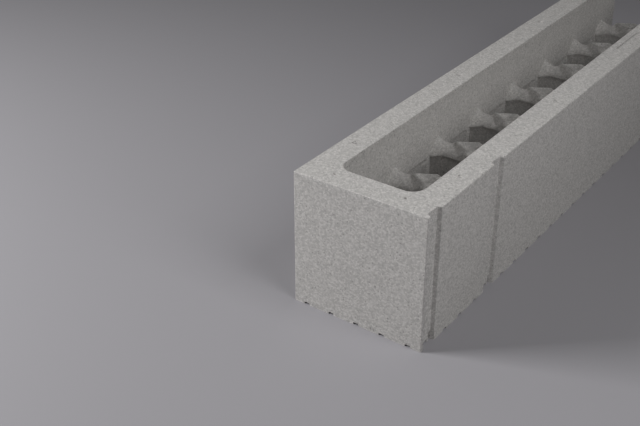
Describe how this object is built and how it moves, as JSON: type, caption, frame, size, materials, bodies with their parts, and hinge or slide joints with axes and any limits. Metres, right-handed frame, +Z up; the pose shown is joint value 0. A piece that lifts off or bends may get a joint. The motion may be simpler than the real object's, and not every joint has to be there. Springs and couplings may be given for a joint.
{
  "type": "insulating concrete formwork block",
  "caption": "Foam formwork corner block: a closed-end trough with cross webs, grooved side and tongued open end, filled with concrete on site.",
  "frame": {"origin": "centre of the block's box, at the underside it stands on", "axes": "+Z up, +Y along the block from the closed end to the open end with the tongues, +X to the long side with the two upright grooves"},
  "size_m": [0.25, 1.207, 0.25],
  "materials": {
    "foam": "matte moulded bead foam"
  },
  "bodies": {
    "root": {"formwork_block": "foam"}
  },
  "joints": []
}
